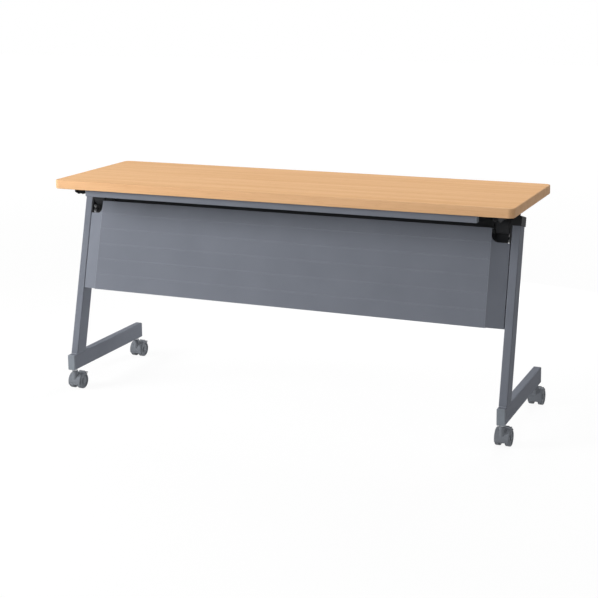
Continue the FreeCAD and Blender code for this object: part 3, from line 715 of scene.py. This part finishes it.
# %% Surround
def add_ground_rays(tree):
    """One for rays from the camera and for reflected or refracted ones, none for the light's own."""
    rays = tree.nodes.new("ShaderNodeLightPath")
    total = rays.outputs["Is Camera Ray"]
    for kind in ("Is Glossy Ray", "Is Transmission Ray"):
        larger = tree.nodes.new("ShaderNodeMath")
        larger.operation = "MAXIMUM"
        tree.links.new(total, larger.inputs[0])
        tree.links.new(rays.outputs[kind], larger.inputs[1])
        total = larger.outputs["Value"]
    return total


world_left = 0.37
world_right = 0.07
world = bpy.data.worlds.new("Surround")
bpy.context.scene.world = world
world.use_nodes = True
sky = world.node_tree
lit = sky.nodes["Background"]
lit.inputs["Color"].default_value = WHITE
direction = sky.nodes.new("ShaderNodeTexCoord")
parts = sky.nodes.new("ShaderNodeSeparateXYZ")
sky.links.new(direction.outputs["Generated"], parts.inputs["Vector"])
sky.links.new(
    add_range(sky, parts.outputs["X"], (-1, 1), (world_left, world_right)), lit.inputs["Strength"])
seen = sky.nodes.new("ShaderNodeBackground")
seen.inputs["Color"].default_value = WHITE
choice = sky.nodes.new("ShaderNodeMixShader")
sky.links.new(add_ground_rays(sky), choice.inputs["Fac"])
sky.links.new(lit.outputs["Background"], choice.inputs[1])
sky.links.new(seen.outputs["Background"], choice.inputs[2])
sky.links.new(choice.outputs["Shader"], sky.nodes["World Output"].inputs["Surface"])
print("surround from", world_left, "to", world_right)

# %% [markdown]
# Floor
# The floor is pale and dull. To the camera most of it glows white, and the rest is its real surface,
# which keeps a faint shadow under the feet. The glow grows a little with the distance from the table,
# where the lamps no longer reach, and that hides the horizon.

# %% Floor
floor_half = 14.0
floor_glow_share = 0.88
floor_glow_reach = (2.0, 6.0)
floor_glow_ends = (1.05, 1.15)
floor_colour = (0.62, 0.62, 0.62, 1)
floor_mesh = bpy.data.meshes.new("floor")
corner_signs = [(-1, -1), (1, -1), (1, 1), (-1, 1)]
floor_corners = [(sx * floor_half, sy * floor_half, 0) for sx, sy in corner_signs]
floor_mesh.from_pydata(floor_corners, [], [(0, 1, 2, 3)])
floor = bpy.data.objects.new("floor", floor_mesh)
bpy.context.scene.collection.objects.link(floor)
floor_mat, floor_tree, floor_shader = new_material("floor")
floor_shader.inputs["Base Color"].default_value = floor_colour
floor_shader.inputs["Roughness"].default_value = 1.0
floor_shader.inputs["Specular IOR Level"].default_value = 0.0
glow = floor_tree.nodes.new("ShaderNodeEmission")
glow.inputs["Color"].default_value = WHITE
spot = floor_tree.nodes.new("ShaderNodeTexCoord")
distance = floor_tree.nodes.new("ShaderNodeVectorMath")
distance.operation = "LENGTH"
floor_tree.links.new(spot.outputs["Object"], distance.inputs[0])
floor_tree.links.new(
    add_range(floor_tree, distance.outputs["Value"], floor_glow_reach, floor_glow_ends),
    glow.inputs["Strength"])
floor_mix = floor_tree.nodes.new("ShaderNodeMixShader")
glow_share = add_range(floor_tree, add_ground_rays(floor_tree), (0, 1), (0, floor_glow_share))
floor_tree.links.new(glow_share, floor_mix.inputs["Fac"])
floor_tree.links.new(floor_shader.outputs["BSDF"], floor_mix.inputs[1])
floor_tree.links.new(glow.outputs["Emission"], floor_mix.inputs[2])
floor_out = floor_tree.nodes["Material Output"]
floor_tree.links.new(floor_mix.outputs["Shader"], floor_out.inputs["Surface"])
floor_mesh.materials.append(floor_mat)
print("floor:", 2 * floor_half, "m square")

# %% [markdown]
# Lamps
# Soft square lamps light the table at a plain level. The key stands at the left and in front, above the
# top, so the panel fades to the right and the rail lies in the top's shadow. A large one hangs overhead
# to the right, which evens out the top, a weak one stands in front, and two at the back lift the feet,
# which the top shades. Reflections show the white ground and not the lamps, so that no glare wipes out
# the top in any view.


# %% Lamps
def soft_lamp(name, place, target, size, power):
    """A square lamp aimed at a point."""
    lamp = bpy.data.lights.new(name, "AREA")
    lamp.size = size
    lamp.energy = power
    obj = bpy.data.objects.new(name, lamp)
    bpy.context.scene.collection.objects.link(obj)
    obj.location = place
    obj.rotation_mode = "QUATERNION"
    obj.rotation_quaternion = (Vector(target) - Vector(place)).to_track_quat("-Z", "Y")
    obj.visible_camera = False
    obj.visible_glossy = False


soft_lamp("key", place=(-2.7, -1.9, 1.8), target=(-0.5, 0, 0.45), size=1.3, power=103)
soft_lamp("overhead", place=(2.1, -0.3, 4.0), target=(0.3, 0, 0.4), size=3.0, power=44)
soft_lamp("front", place=(-0.5, -4.4, 1.6), target=(-0.2, 0, 0.4), size=1.4, power=38)
soft_lamp("back", place=(0.7, 2.2, 2.6), target=(0.3, 0, 0.2), size=1.0, power=30)
soft_lamp("low_back", place=(0.2, 1.7, 0.45), target=(-0.1, 0, 0.1), size=0.4, power=20)
print("lamps:", len(bpy.data.lights))

# %% [markdown]
# Camera
# The photograph was taken from the front right, a little above the top, through a long lens. Its upright
# lines hardly lean together, which a lens does when it is shifted down instead of tilted. The camera was
# fitted to the table's corners with part of that shift, so that the table stays in other views too.

# %% Camera
image_size = 598
focal_pixels = 1326.3
axis_height = 180.0
sensor_width = 36.0
camera_place = (1.6531, -3.7547, 1.3661)
yaw = math.radians(-23.751)
pitch = math.radians(-9.173)
roll = math.radians(-0.655)
forward = Vector((math.sin(yaw) * math.cos(pitch), math.cos(yaw) * math.cos(pitch), math.sin(pitch)))
level = Vector((math.cos(yaw), -math.sin(yaw), 0))
upward = level.cross(forward)
right = level * math.cos(roll) + upward * math.sin(roll)
above = upward * math.cos(roll) - level * math.sin(roll)
lens = bpy.data.cameras.new("camera")
lens.sensor_width = sensor_width
lens.lens = sensor_width * focal_pixels / image_size
lens.shift_y = (axis_height - image_size / 2) / image_size
camera = bpy.data.objects.new("camera", lens)
bpy.context.scene.collection.objects.link(camera)
camera.rotation_mode = "QUATERNION"
camera.rotation_quaternion = Matrix((right, above, -forward)).transposed().to_quaternion()
camera.location = camera_place
bpy.context.scene.camera = camera
bpy.context.scene.view_settings.view_transform = "Standard"
print("camera: lens", round(lens.lens, 1), "mm, shift", round(lens.shift_y, 3))
